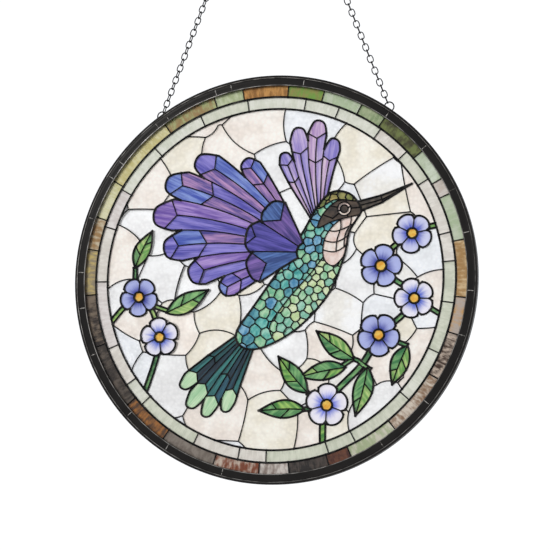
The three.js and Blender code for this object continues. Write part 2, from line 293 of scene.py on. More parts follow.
# %% [markdown]
# A leaf is cut in two along its midrib, and each half again by a slanting line, so that no pane
# has a deep hollow. A blossom is cut into its petals by lines from the round centre.

# %% Leaves and blossoms
LEAVES = [
    ((99, -51), -118, 30, 13, 3), ((70, -66), -100, 36, 14, -3), ((60, -60), 148, 34, 14, -3),
    ((54, -66), 186, 34, 13, 3), ((24, -96), 176, 34, 13, 3), ((26, -84), 134, 34, 14, -3),
    ((-80, -24), 22, 36, 14, 3), ((-104, 10), 70, 30, 12, -3),
]
for i, (base, degrees, length, width, bend) in enumerate(LEAVES):
    name = f"leaf_{i + 1}"
    outline, midrib = leaf(base, degrees, length, width, bend)
    layer(name, outline, "leaf_glass", origin=base, along=degrees, size=length)
    cut(name, midrib)
    for t, sign in ((0.34, 1), (0.62, -1)):
        start = midrib[round(t * (len(midrib) - 1))]
        cut(name, [start, polar(start, degrees + sign * 48, width)])
for i, (at, radius, turn) in enumerate(FLOWERS):
    name = f"flower_{i + 1}"
    layer(name, rosette(at, radius, turn), "petal_glass", origin=at, along=turn, size=radius)
    for k in range(PETALS):
        degrees = turn + 360 / PETALS * k
        cut(name, [at, polar(at, degrees, radius)])
    layer(f"{name}_centre", circle(at, radius * FLOWER_CENTRE, 16), "flower_centre_glass",
          origin=at, along=turn, size=radius)
print(len(LEAVES), "leaves,", len(FLOWERS), "blossoms")

# %% [markdown]
# The bird comes last, so it lies on top: far wing, tail and bill, then the body with its coloured
# parts, then the near wing in two rows. A long feather is cut along its shaft and once or twice
# across, and those cuts slant like barbs.

# %% Wings and tail
NEAR_PIVOT = (26, 18)
FAR_PIVOT = (36, 32)
TAIL_PIVOT = (-4, -28)
BARB = 22


def fan(name, made, glass, stops, slant):
    """Adds feathers as layers, each with its shaft and its cross cuts."""
    for i, (outline, middle) in enumerate(made):
        own = f"{name}_{i + 1}"
        a, b = middle[0], middle[-1]
        along = math.degrees(math.atan2(b[1] - a[1], b[0] - a[0]))
        layer(own, outline, glass, origin=a, along=along, size=math.dist(a, b))
        own_stops = stops[i % len(stops)]
        last = own_stops[-1]
        cut(own, middle[:round(last * SHAFT_STEPS) + 1])
        for k, t in enumerate(own_stops):
            at = middle[round(t * SHAFT_STEPS)]
            for sign in (1, -1):
                if t == last or (i + k + sign) % 2:
                    cut(own, [at, polar(at, along + sign * slant, BARB)])


fan("far_wing_feather", feathers(FAR_PIVOT, [124, 113, 102, 91, 80], [66, 80, 83, 70], 12, -10),
    "far_wing_glass", [(0.55, 0.8), (0.7,)], 60)
fan("tail_feather", feathers(TAIL_PIVOT, [211, 220, 229, 238, 247], [82, 88, 86, 76], 14, 6),
    "tail_glass", [(0.5, 0.75), (0.4, 0.7)], 55)
BILL = [(62, 54), (80, 58), (103, 66), (81, 53), (62, 46)]
layer("bill", BILL, "bill_glass", origin=(62, 50), along=20, size=40)
cut("bill", [(60, 50), (82, 55.4), (104, 66.4)])
cut("bill", [(80, 60), (82, 52)])
print(len(layers), "layers with the far wing, the tail and the bill")

# %% The bird's body
BODY = smooth([
    (66, 49), (58, 60), (45, 62), (34, 52), (24, 35), (8, 10), (-12, -18), (-27, -40), (-21, -51),
    (-5, -50), (20, -36), (42, -12), (53, 14), (57, 32), (63, 42),
])
BREAST = smooth([(44, 20), (28, 2), (10, -18), (-2, -38), (14, -52), (50, -30), (70, 6), (58, 18)])
THROAT = smooth([(72, 47), (52, 42), (40, 30), (38, 14), (46, 8), (58, 20), (72, 30)])
CROWN = smooth([(76, 52), (60, 55), (46, 56), (34, 50), (26, 58), (46, 74), (70, 70)])
CHEEK = smooth([(74, 51), (60, 55), (48, 55), (38, 46), (34, 36), (44, 40), (56, 43), (72, 46)])
EYE = (53.5, 49.3)
layer("back", BODY, "back_glass", origin=(8, 0), along=56, size=100)
layer("breast", BREAST, "breast_glass", within=BODY, origin=(30, -10), along=56, size=60)
layer("throat", THROAT, "throat_glass", within=BODY, origin=(54, 26), along=62, size=30)
for line in (
    [(36, 36), (46, 33), (56, 36), (68, 43)],
    [(34, 28), (45, 25), (54, 28), (66, 38)],
    [(36, 20), (46, 18), (54, 22), (62, 30)],
    [(50, 45), (51, 36), (48, 26), (47, 12)],
    [(59, 46), (58, 38), (54, 30), (53, 18)],
):
    cut("throat", smooth(line, 1.8, closed=False))
layer("crown", CROWN, "crown_glass", within=BODY, origin=(50, 58), along=15, size=30)
layer("cheek", CHEEK, "cheek_glass", within=BODY, origin=EYE, along=30, size=30)
for line in ([(53.5, 49.3), (56, 58)], [(53.5, 49.3), (42, 52)], [(53.5, 49.3), (45, 42.5)],
             [(53.5, 49.3), (57, 42)], [(53.5, 49.3), (72, 50.5)], [(45, 42.5), (36, 46)]):
    cut("cheek", line)
layer("eye_ring", circle(EYE, 5.0, 24), "throat_glass", origin=EYE, size=5)
cut("eye_ring", [(EYE[0] - 6, EYE[1] - 2), EYE, (EYE[0] + 6, EYE[1] + 2)])
layer("eye", circle(EYE, 2.9, 20), "cheek_glass", origin=EYE, size=3)
NEAR_BEND = 9
NEAR_RIBS = [114, 126, 138, 150, 163, 177, 192, 207]
NEAR_LENGTHS = [84, 110, 120, 120, 108, 90, 70]
fan("wing_feather", feathers(NEAR_PIVOT, NEAR_RIBS, NEAR_LENGTHS, 24, NEAR_BEND),
    "near_wing_glass", [(0.62, 0.84), (0.55, 0.78)], 58)
fan("wing_covert", feathers(NEAR_PIVOT, [112, 144, 176, 209], [46, 48, 46], 8, NEAR_BEND),
    "covert_glass", [(0.6,), (0.5, 0.8)], 52)
print(len(layers), "layers with the whole bird")

# %% [markdown]
# The bird's back, breast and crown are a mosaic of small pebbles. Points are thrown at random,
# none too close to the others, and each pebble is the place that is nearer to its own point than
# to any other. Two rounds of moving each point to the middle of its pebble even them out. The
# ground is cut in the same way into wide panes, and there each edge is bent a little.

# %% Points in an outline
def inside(points, outline):
    """Which of the points lie inside an outline."""
    points = np.asarray(points, float)
    a = np.asarray(outline, float)
    b = np.roll(a, -1, axis=0)
    x, y = points[:, 0:1], points[:, 1:2]
    crosses = (a[:, 1] > y) != (b[:, 1] > y)
    slope = (b[:, 0] - a[:, 0]) / np.where(a[:, 1] == b[:, 1], 1e-9, b[:, 1] - a[:, 1])
    return (crosses & (x < a[:, 0] + (y - a[:, 1]) * slope)).sum(axis=1) % 2 == 1


def scatter(box, spacing, seed, accept, tries=9000):
    rng = random.Random(seed)
    points = []
    for _ in range(tries):
        p = (rng.uniform(box[0], box[1]), rng.uniform(box[2], box[3]))
        gap = spacing(p)
        if accept(p) and all(math.dist(p, q) > gap for q in points):
            points.append(p)
    return points


# %% The place nearest to each point
def cell(p, points, reach):
    """The corners of the place nearest to p, cut out of a circle by the lines half way."""
    corners = [np.array(c) for c in circle(p, reach, 12)]
    for q in points:
        if q == p or math.dist(p, q) > 2 * reach:
            continue
        normal = np.array([q[0] - p[0], q[1] - p[1]])
        limit = float(normal @ np.array([(p[0] + q[0]) / 2, (p[1] + q[1]) / 2]))
        kept = []
        for a, b in zip(corners, corners[1:] + corners[:1]):
            da, db = float(normal @ a) - limit, float(normal @ b) - limit
            if da <= 0:
                kept.append(a)
            if da * db < 0:
                kept.append(a + (b - a) * da / (da - db))
        corners = kept
    return corners


def relaxed(points, reach, rounds=2):
    for _ in range(rounds):
        points = [tuple(float(c) for c in np.mean(cell(p, points, reach), axis=0)) for p in points]
    return points


def pebbled(names, points, reach, bow, accept, parts):
    """Cuts along the edges between neighbouring places, each bowed by a share of its length."""
    edges = {}
    for p in points:
        corners = cell(p, points, reach)
        for a, b in zip(corners, corners[1:] + corners[:1]):
            key = tuple(sorted((tuple(np.round(a, 2)), tuple(np.round(b, 2)))))
            if math.dist(*key) > 0.3 and accept(between(*key, 0.5)):
                edges[key] = edges.get(key, 0) + 1
    rng = random.Random(len(points))
    for a, b in sorted(edges):
        if edges[(a, b)] < 2:
            continue
        side = rng.uniform(-bow, bow)
        sag = (-(b[1] - a[1]) * side, (b[0] - a[0]) * side)
        line = []
        for i in range(parts + 1):
            t = i / parts
            x, y = between(a, b, t)
            lift = 4 * t * (1 - t)
            line.append((x + sag[0] * lift, y + sag[1] * lift))
        for own in names:
            cut(own, line)
    print(len(points), "places,", len(edges), "edges in", names[0])


# %% Pebbles and crazy paving
def near_body(p):
    return bool(inside([p], BODY)[0]) or min(math.dist(p, q) for q in BODY) < 6


def pebble_size(p):
    """Small at the head and larger towards the tail."""
    return 3.5 + 2.6 * min(max((60 - p[0]) / 80, 0), 1)


PEBBLE_REACH = 9
pebbles = scatter((-34, 74, -58, 70), pebble_size, 11, near_body)
pebbled(["back", "breast", "crown"], relaxed(pebbles, PEBBLE_REACH), PEBBLE_REACH, 0.1, near_body, 2)


def on_ground(p):
    return math.hypot(*p) < INNER_RING + 14


SHARD_REACH = 42
shards = scatter((-140, 140, -140, 140), lambda p: 25.0, 5, on_ground)
pebbled(["ground"], relaxed(shards, SHARD_REACH, 1), SHARD_REACH, 0.14, on_ground, 8)

# %% [markdown]
# Now the flat lines are joined into one sheet. A constrained Delaunay triangulation takes every
# outline and cut as an edge that must be there and finds all their crossings. Each triangle
# belongs to the topmost figure over its middle, and the edges that divide nothing are dissolved,
# which leaves one face for each pane of glass and one edge line for each lead.

# %% Join all lines into one sheet
def all_edges():
    """Corners, edges and the cut that each edge belongs to (or None for an outline)."""
    corners, edges, owners = [], [], []

    def add(line, owner, closed):
        first = len(corners)
        corners.extend(Vector(p) for p in line)
        count = len(line)
        for i in range(count if closed else count - 1):
            edges.append((first + i, first + (i + 1) % count))
            owners.append(owner)

    for item in layers:
        add(item["outline"], None, True)
    for item in cuts:
        add(item["line"], item["name"], False)
    return corners, edges, owners


def topmost(points):
    """The index of the topmost layer over each point, or -1."""
    found = np.full(len(points), -1)
    for index, item in enumerate(layers):
        over = inside(points, item["outline"])
        if item["within"] is not None:
            over &= inside(points, item["within"])
        found[over] = index
    return found


corners, edges, owners = all_edges()
flat = delaunay_2d_cdt(corners, edges, [], 0, 0.02, True)
flat_corners, flat_edges, flat_faces, _, flat_origins, _ = flat
middles = np.array([[sum(flat_corners[v][k] for v in face) / 3 for k in (0, 1)] for face in flat_faces])
face_layer = topmost(middles)
print(len(flat_corners), "corners,", len(flat_faces), "triangles")


# %% One face for each pane
CLOSEST = 0.25


def dissolved_sheet():
    """The flat sheet with one face for each pane, its layer kept as a face value."""
    mesh = bpy.data.meshes.new("sheet")
    mesh.from_pydata([(c.x, 0, c.y) for c in flat_corners], [], flat_faces)
    bm = bmesh.new()
    bm.from_mesh(mesh)
    bpy.data.meshes.remove(mesh)
    key = bm.faces.layers.int.new("layer")
    bm.faces.ensure_lookup_table()
    for face, own in zip(bm.faces, face_layer):
        face[key] = int(own)
    divided = {}
    for pair, origins in zip(flat_edges, flat_origins):
        divided[frozenset(pair)] = {owners[i] for i in origins}
    bm.verts.index_update()
    soft_key = bm.edges.layers.int.new("soft")
    for edge in bm.edges:
        own = {face[key] for face in edge.link_faces}
        names = divided.get(frozenset(v.index for v in edge.verts), set())
        edge[soft_key] = len(own) == 1 and layers[min(own)]["name"] not in names
    bmesh.ops.delete(bm, geom=[f for f in bm.faces if f[key] < 0], context="FACES")
    bm.faces.index_update()
    inner = [e for e in bm.edges if len(e.link_faces) == 2]
    group = merged(bm, inner, soft_key, key)
    soft = [e for e in inner if group[e.link_faces[0].index] == group[e.link_faces[1].index]]
    bmesh.ops.dissolve_edges(bm, edges=soft, use_verts=False, use_face_split=False)
    straight = [v for v in bm.verts if len(v.link_edges) == 2 and v.calc_edge_angle(1) < 0.01]
    bmesh.ops.dissolve_verts(bm, verts=straight)
    bmesh.ops.remove_doubles(bm, verts=bm.verts, dist=CLOSEST)
    bm.normal_update()
    return bm


# %% Slivers
SMALLEST = 3.0  # square millimetres
SLENDER = 0.75  # twice the area over the length round it


def merged(bm, inner, soft_key, key):
    """A number for each triangle that is the same all over one pane. Slivers join a neighbour."""
    group = list(range(len(bm.faces)))

    def find(i):
        while group[i] != i:
            group[i] = group[group[i]]
            i = group[i]
        return i

    for edge in inner:
        if edge[soft_key]:
            a, b = (find(f.index) for f in edge.link_faces)
            group[a] = b
    for _ in range(4):
        area, around, best = {}, {}, {}
        for face in bm.faces:
            root = find(face.index)
            area[root] = area.get(root, 0) + face.calc_area()
        for edge in inner:
            a, b = (find(f.index) for f in edge.link_faces)
            if a == b:
                continue
            length = edge.calc_length()
            same = edge.link_faces[0][key] == edge.link_faces[1][key]
            for own, other in ((a, b), (b, a)):
                around[own] = around.get(own, 0) + length
                if same:
                    share = best.setdefault(own, {})
                    share[other] = share.get(other, 0) + length
        slivers = [i for i in area if area[i] < SMALLEST or 2 * area[i] / around.get(i, 1) < SLENDER]
        for own in slivers:
            if own in best:
                other = max(best[own], key=best[own].get)
                a, b = find(own), find(other)
                group[a] = b
    return [find(i) for i in range(len(group))]


# %% Pick out the panes
sheet = dissolved_sheet()
layer_key = sheet.faces.layers.int["layer"]
print(len(sheet.faces), "panes,", len(sheet.edges), "edges")

# %% [markdown]
# Copper foil and solder hold the panes: a bead on the front, one on the back and a thin heart
# between the glass edges, so the section of a line is a tall H. One H is swept along every line,
# and where lines meet, a low drop of solder covers the joint. The lines of the mosaic, and those
# that only divide one figure or the ground, are finer than the lines round the figures.

# %% Section of a solder line
PANEL = Matrix.Translation(centre) @ Matrix.Scale(MM, 4)
UPRIGHT = Matrix.Rotation(math.radians(90), 4, "X")
HEART = 0.2
SOLDER_FOOT = GLASS_HALF + 0.05
FINE_GLASS = {"back_glass", "breast_glass", "crown_glass", "throat_glass", "cheek_glass"}


def section(half_width, height):
    """The H, as a closed flat curve: x across the line, y through the glass."""
    foot = SOLDER_FOOT
    bead = [(half_width, foot + 0.04), (half_width * 0.72, foot + height * 0.72), (0, foot + height)]
    quarter = [(HEART, foot)] + bead
    right = [(x, -y) for x, y in quarter[::-1]] + quarter
    points = right + [(-x, y) for x, y in right[::-1] if x > 0]
    data = bpy.data.curves.new("section", "CURVE")
    data.dimensions = "2D"
    spline = data.splines.new("POLY")
    spline.points.add(len(points) - 1)
    for point, (x, y) in zip(spline.points, points):
        point.co = (x, y, 0, 1)
    spline.use_cyclic_u = True
    made = bpy.data.objects.new("section", data)
    bpy.context.collection.objects.link(made)
    return made


# %% Which edges carry solder
def lead_edges(fine):
    """The sheet's edges that carry a line of the given kind."""
    picked = []
    for edge in sheet.edges:
        middle = (edge.verts[0].co + edge.verts[1].co) / 2
        if len(edge.link_faces) < 2 or math.hypot(middle.x, middle.z) > LIP:
            continue
        kinds = {layers[f[layer_key]]["glass"] for f in edge.link_faces}
        if (len(kinds) == 1 or kinds <= FINE_GLASS) == fine:
            picked.append(edge)
    return picked


def runs(picked):
    """The edges joined end to end into open lines and closed loops, broken at joints and bends."""
    own = set(picked)

    def onward(vert, edge):
        mine = [e for e in vert.link_edges if e in own]
        if len(mine) != 2 or len(vert.link_edges) != 2 or vert.calc_edge_angle(0) > math.radians(38):
            return None
        return mine[0] if mine[1] is edge else mine[1]

    free, found = set(picked), []
    for edge in picked:
        if edge not in free:
            continue
        free.discard(edge)
        line = list(edge.verts)
        for turned in (False, True):
            last = edge
            while True:
                last = onward(line[-1], last)
                if last is None or last not in free:
                    break
                free.discard(last)
                line.append(last.other_vert(line[-1]))
            if not turned:
                line.reverse()
        closed = line[0] is line[-1] and len(line) > 3
        found.append(([v.co.copy() for v in (line[:-1] if closed else line)], closed))
    return found


# %% Sweep the section along the lines
def thinned(points, step):
    """The same line with points that crowd closer than a step left out."""
    kept = [points[0]]
    for point in points[1:-1]:
        if (point - kept[-1]).length > step and (point - points[-1]).length > step:
            kept.append(point)
    return kept + [points[-1]] if len(points) > 1 else kept


def shortened(points, amount):
    """The same line drawn in a little at both ends, so that two lines never share an end face."""
    first = points[0] + (points[1] - points[0]).normalized() * amount
    last = points[-1] + (points[-2] - points[-1]).normalized() * amount
    return [first] + points[1:-1] + [last]


def swept(name, lines, profile):
    data = bpy.data.curves.new(name, "CURVE")
    data.dimensions = "3D"
    data.twist_mode = "Z_UP"
    for points, closed in lines:
        points = thinned(points, 0.6)
        if not closed:
            points = shortened(points, 0.02)
        spline = data.splines.new("POLY")
        spline.points.add(len(points) - 1)
        for point, co in zip(spline.points, points):
            point.co = (co.x, co.z, 0, 1)
        spline.use_cyclic_u = closed
    data.bevel_mode = "OBJECT"
    data.bevel_object = profile
    data.use_fill_caps = True
    made = bpy.data.objects.new(name, data)
    bpy.context.collection.objects.link(made)
    bpy.context.view_layer.update()
    mesh = bpy.data.meshes.new_from_object(made.evaluated_get(bpy.context.evaluated_depsgraph_get()))
    for spent in (made, profile):
        bpy.data.objects.remove(spent)
    bm = bmesh.new()
    bm.from_mesh(mesh)
    bpy.data.meshes.remove(mesh)
    bmesh.ops.remove_doubles(bm, verts=bm.verts, dist=3e-5)
    bmesh.ops.transform(bm, matrix=UPRIGHT, verts=bm.verts)
    return bm


# %% Finish a piece
def finished(name, bm, nodes=(), smooth_angle=None, matrix=PANEL):
    """Puts a bmesh in its place as a piece of the object, riding on its body."""
    bmesh.ops.transform(bm, matrix=matrix, verts=bm.verts)
    bmesh.ops.recalc_face_normals(bm, faces=bm.faces)
    for face in bm.faces:
        face.smooth = smooth_angle is not None
    mesh = bpy.data.meshes.new(name)
    bm.to_mesh(mesh)
    bm.free()
    if smooth_angle is not None:
        mesh.set_sharp_from_angle(angle=math.radians(smooth_angle))
    made = bpy.data.objects.new(name, mesh)
    bpy.context.collection.objects.link(made)
    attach(made, "root")
    if nodes:
        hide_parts(*nodes)
    mesh.calc_loop_triangles()
    print(name, len(mesh.loop_triangles), "triangles")
    return made


# %% Sweep the solder
coarse_lines = runs(lead_edges(False))
fine_lines = runs(lead_edges(True))
solder_pieces = [
    finished("solder_lines", swept("solder_lines", coarse_lines, section(0.74, 0.85)),
             ["lead_lines"], 50),
    finished("fine_solder_lines", swept("fine_solder_lines", fine_lines, section(0.47, 0.62)),
             (), 50),
]


# %% Solder joints
def copies(shape, places):
    """One bmesh with a copy of a small shape at each place."""
    base = bpy.data.meshes.new("shape")
    shape.to_mesh(base)
    shape.free()
    bm = bmesh.new()
    for place in places:
        one = base.copy()
        one.transform(place)
        bm.from_mesh(one)
        bpy.data.meshes.remove(one)
    bpy.data.meshes.remove(base)
    return bm


def joints(lines, radius, height):
    """A low drop on the front and the back of every meeting of lines."""
    drop = bmesh.new()
    bmesh.ops.create_uvsphere(drop, u_segments=8, v_segments=6, radius=1)
    spots = {}
    for points, closed in lines:
        for end in () if closed else (points[0], points[-1]):
            if math.hypot(end.x, end.z) < LIP - 1:
                spots[(round(end.x, 1), round(end.z, 1))] = end
    shape = Matrix.Diagonal((radius, height, radius, 1))
    return copies(drop, [
        Matrix.Translation((end.x, side * SOLDER_FOOT, end.z)) @ shape
        for end in spots.values() for side in (-1, 1)
    ])


solder_pieces += [
    finished("solder_joints", joints(coarse_lines, 0.98, 0.93), (), 180),
    finished("fine_solder_joints", joints(fine_lines, 0.6, 0.68), (), 180),
]

# %% [markdown]
# Each pane is its face of the sheet, drawn in a little so that it ends under the solder, and
# given its thickness. Panes of one kind of glass are one object. Every pane carries its own two
# tints, and its place measured along and across its grain, for the patterns in its material.

# %% Tints of the glass
def linear(text):
    """A colour written as six hexadecimal digits, as linear red, green and blue."""
    parts = [int(text[i:i + 2], 16) / 255 for i in (0, 2, 4)]
    return [p / 12.92 if p <= 0.04045 else ((p + 0.055) / 1.055) ** 2.4 for p in parts]


TINTS = {
    "outer_border_glass": [
        "8a5a1e c8924a", "8f8a45 6f9a3a", "c3ccb4 aebf9b", "7f9468 a9b48d", "6f7a3f 3d3a1c",
        "b9c5a9 d3dbc8", "c5b9ad d8d0c8", "aebf9b c3ccb4", "a8814c e0c79c", "b7aa9f c89a5a",
        # The last pair on the next line is near-black glass whose lighter grey second tint is a painted
        # highlight, spread as streaks.
        "3a2415 cbb9a8", "8a6a4e d9cdbd", "a9b48d d5d0bf", "3b1a10 6a3a22", "1d1815 4a3f38",
        "8f7f76 d8d0c8", "7a3b1e c9b8a8", "6d6258 8b8177", "a56a2c 4a3220", "5e5348 2a211b",
        "20140e 7a6a58", "8a7d68 c7b06a", "9b7748 cfc2a6", "c9c48c e0dcb8", "c6bb7c ddd6a8",
        "9a7d4e a9b27a", "a6b184 c9d0ae",
    ],
    "inner_border_glass": [
        "d6d8c8 e6e6da", "cfd2bf e0e0d0", "d9d3c9 ebe6dd", "c9cdb9 dddfcd", "d5cdc8 e8e2de",
    ],
    "ground_glass": ["f4f1ea ffffff", "eef0f2 fafcff", "f3e9df fdf6ee", "f1ead9 fbf6ea", "f0efee fdfdfc"],
    "leaf_glass": ["3f8a3a a9cf6a", "2f7a44 8fc27e", "5fa048 c9dc8e", "2c6a3c 7fb070"],
    "petal_glass": ["3f5fd0 f3f0fb", "5a6fe0 f7f3fc", "1f2fa0 b4bcec", "6a84e8 fbf8ff", "2a44c0 d6d8f6"],
    "flower_centre_glass": ["e8a020 f6d060"],
    "far_wing_glass": ["8f7cc8 d8c4e6", "7a6fc4 c2b4e4", "b08cc4 e6cfe2"],
    "near_wing_glass": ["4a46a8 9a8fdc", "3a4fb0 8fa4e0", "6a4aa8 b79ad8", "3f3a90 c79ac8"],
    "covert_glass": ["2f2c80 6a5fc0", "3a2f78 8a6ab8", "24407f 5f86c8"],
    "tail_glass": ["14304a 2f6f80", "0f1f30 1f5060", "10484f 3f8f8a"],
    "back_glass": ["2f9a98 7fccc0", "3f86b0 8fc0d8", "57b0a0 a4d8c4", "2f7a90 6ab0b8", "6ab890 b4dcb4"],
    "breast_glass": ["a8d49a d4ecc4", "8cc89a c0e4c0", "c4dca0 e4efc8", "74bca0 b0dcc8"],
    "throat_glass": ["ead6c8 f8eee6", "f0dccc fbf4ec", "e4c8bc f4e4dc"],
    "crown_glass": ["7c7c3e b0a860", "5f6a34 949850", "8f8444 c2b070"],
    "cheek_glass": ["2a211c 4a3c30", "382c24 5a4a3c"],
    "bill_glass": ["3a332c 6a5f50"],
}
TIPS = "9fd0a0 d8ecc8"


def tile_number(x, z, joint_list):
    clockwise = math.degrees(math.atan2(x, z)) % 360
    return sum(joint <= clockwise for joint in joint_list) % len(joint_list)


def tints_of(item, x, z, rng):
    glass = item["glass"]
    if item["name"] == "outer_border":
        pair = TINTS[glass][tile_number(x, z, OUTER_JOINTS)]
    elif glass == "petal_glass":
        pair = random.Random(item["name"]).choice(TINTS[glass])
    elif glass == "tail_glass" and math.dist((x, z), item["origin"]) > 0.8 * item["size"]:
        pair = TIPS
    else:
        pair = rng.choice(TINTS[glass])
    return [linear(part) for part in pair.split()]


print(sum(len(pairs) for pairs in TINTS.values()), "pairs of tints")


# %% Panes of glass
PLAY = 0.1


def panes(glass):
    bm = sheet.copy()
    key = bm.faces.layers.int["layer"]
    bmesh.ops.delete(bm, geom=[f for f in bm.faces if layers[f[key]]["glass"] != glass], context="FACES")
    bmesh.ops.split_edges(bm, edges=bm.edges)
    bm.normal_update()
    rims = bmesh.ops.inset_individual(bm, faces=bm.faces[:], thickness=HEART + PLAY, use_even_offset=True)
    bmesh.ops.delete(bm, geom=rims["faces"], context="FACES")
    tint = bm.verts.layers.float_color.new("tint")
    second = bm.verts.layers.float_color.new("second")
    grain = bm.verts.layers.float_vector.new("grain")
    rng = random.Random(glass)
    for face in bm.faces:
        item = layers[face[key]]
        middle = face.calc_center_median()
        pair = tints_of(item, middle.x, middle.z, rng)
        turn = math.radians(item["along"])
        seed = rng.uniform(0, 100)
        cosine, sine = math.cos(turn), math.sin(turn)
        for vert in face.verts:
            x, z = vert.co.x - item["origin"][0], vert.co.z - item["origin"][1]
            vert[tint] = (*pair[0], 1)
            vert[second] = (*pair[1], 1)
            vert[grain] = (x * cosine + z * sine, z * cosine - x * sine, seed)
    bmesh.ops.translate(bm, vec=(0, -GLASS_HALF, 0), verts=bm.verts)
    grown = bmesh.ops.extrude_face_region(bm, geom=bm.faces[:])
    back = [v for v in grown["geom"] if isinstance(v, bmesh.types.BMVert)]
    bmesh.ops.translate(bm, vec=(0, 2 * GLASS_HALF, 0), verts=back)
    return bm


glass_pieces = {}
for slot in TINTS:
    nodes = [part["node"] for part in frame["record"]["subparts"] if part["material_slot"] == slot]
    glass_pieces[slot] = finished(f"{slot}_panes", panes(slot), nodes)

# %% [markdown]
# The rim is one metal channel: a flat band round the front and the back, a fine groove, and a
# round bead on the outer edge. Its section is drawn as a wire, spun all the way round, and the
# places where the band is soldered show as short bright notches across it.

# %% Rim
RIM_NOTCHES = [
    -165.5, -147.6, -132.7, -112, -97.8, -87.2, -70.9, -57.5, -52.3, -37, -33.1, -16.9, -12.1, 9.6,
    36.3, 50.8, 65.6, 78.4, 95, 107.8, 129.2, 146.5,
]
AXIS = Vector((0, 1, 0))


def spun(profile, steps, axis=AXIS, middle=Vector((0, 0, 0))):
    """A closed section, turned all the way round an axis."""
    bm = bmesh.new()
    verts = [bm.verts.new(co) for co in profile]
    ring = [bm.edges.new(pair) for pair in zip(verts, verts[1:] + verts[:1])]
    bmesh.ops.spin(bm, geom=verts + ring, cent=middle, axis=axis, angle=math.tau, steps=steps, use_merge=True)
    bmesh.ops.remove_doubles(bm, verts=bm.verts, dist=1e-4)
    return bm


RIM_HALF = [
    (144.8, 1.8), (142.5, 1.8), (142.3, 2.2), (142.3, 3.9), (142.6, 4.25), (143.0, 4.15), (145.5, 4.0),
    (147.5, 3.95), (147.8, 3.7), (148.05, 3.95), (148.35, 4.3), (148.8, 4.5), (149.3, 4.45),
    (149.75, 4.1), (150.0, 3.5), (150.0, 2.6), (149.8, 2.2),
]
rim_profile = [(r, -d) for r, d in RIM_HALF] + [(r, d) for r, d in RIM_HALF[::-1]]
rim = finished("channel_rim", spun([(r, d, 0) for r, d in rim_profile], 240), ["rim"], 40)


def notches():
    shape = bmesh.new()
    bmesh.ops.create_cube(shape, size=1)
    bmesh.ops.bevel(shape, geom=shape.edges[:], offset=0.2, segments=1, profile=0.5, affect="EDGES",
                    material=-1)
    places = []
    for clockwise in RIM_NOTCHES:
        turn = Matrix.Rotation(math.radians(clockwise), 4, "Y")
        for side in (-1, 1):
            spot = Matrix.Translation((0, side * 4.0, 145.2)) @ Matrix.Diagonal((0.55, 0.5, 4.4, 1))
            places.append(turn @ spot)
    return copies(shape, places)


rim_notches = finished("rim_notches", notches(), (), 180)

# %% [markdown]
# The hanger is wire. A ring, a link or an eye is a round section swept along its middle line, and
# every second link of a chain is turned a quarter turn. The links are few-sided, because there
# are about a hundred of them, and they touch at the ends but don't cut into each other.

# %% Hanger sizes
RING_INSIDE = 6.5
RING_WIRE = 1.0
LINK_WIRE = 0.5
LINK_HALF_WIDTH = 2.1
LINK_HALF_LENGTH = 2.85
LINK_BITE = 0.1
JUMP_RADIUS = 3.5
JUMP_FROM_CENTRE = 151.5
JUMP_ANGLE = math.radians(34.6)
HANG_HEIGHT = 351.4
STAPLE_RADIUS = 2.1
STAPLE_FROM_CENTRE = 147.4
EYE_DEPTH = 4.8
RING_PLACE = Matrix.Translation((0, 0, -RING_INSIDE * MM)) @ Matrix.Scale(MM, 4)


def wire_ring(radius, wire, steps, sides):
    """A ring of round wire standing in the XZ plane."""
    profile = [(radius + wire * math.cos(a), wire * math.sin(a), 0)
               for a in (math.tau * i / sides for i in range(sides))]
    return spun(profile, steps)


def stretched(bm, amount):
    for vert in bm.verts:
        if abs(vert.co.z) > 0.05:
            vert.co.z += math.copysign(amount, vert.co.z)
    return bm


hanging_ring = finished("ring", wire_ring(RING_INSIDE + RING_WIRE, RING_WIRE, 48, 12),
                        ["hanging_ring"], 180, RING_PLACE)


# %% Chains
def chain(side):
    foot = Vector((JUMP_FROM_CENTRE * math.sin(JUMP_ANGLE), 0,
                   JUMP_FROM_CENTRE * math.cos(JUMP_ANGLE) - HANG_HEIGHT))
    slope = math.atan2(foot.x, -foot.z)
    first = RING_INSIDE - LINK_WIRE - 0.3 + LINK_HALF_LENGTH
    last = foot.length - JUMP_RADIUS + 2 * LINK_WIRE - LINK_BITE - LINK_HALF_LENGTH
    pitch = 2 * LINK_HALF_LENGTH - 2 * LINK_WIRE + LINK_BITE
    count = round((last - first) / pitch / 2) * 2
    lean = Matrix.Rotation(-side * slope, 4, "Y")
    places = []
    for i in range(count + 1):
        down = Matrix.Translation((0, 0, -(first + (last - first) * i / count)))
        turn = Matrix.Rotation(0 if i % 2 else math.radians(90), 4, "Z")
        places.append(lean @ down @ turn)
    wire = LINK_WIRE - LINK_BITE / 2
    one = stretched(wire_ring(LINK_HALF_WIDTH, wire, 12, 5), LINK_HALF_LENGTH - LINK_HALF_WIDTH)
    bm = copies(one, places)
    jump = copies(wire_ring(JUMP_RADIUS, LINK_WIRE, 24, 8), [lean @ Matrix.Translation((0, 0, -foot.length))])
    mesh = bpy.data.meshes.new("jump")
    jump.to_mesh(mesh)
    jump.free()
    bm.from_mesh(mesh)
    bpy.data.meshes.remove(mesh)
    print(count + 1, "links")
    return bm


chains = [
    finished(f"link_chain_{name}", chain(side), [f"chain_{name}"], 180, RING_PLACE)
    for name, side in (("left", -1), ("right", 1))
]


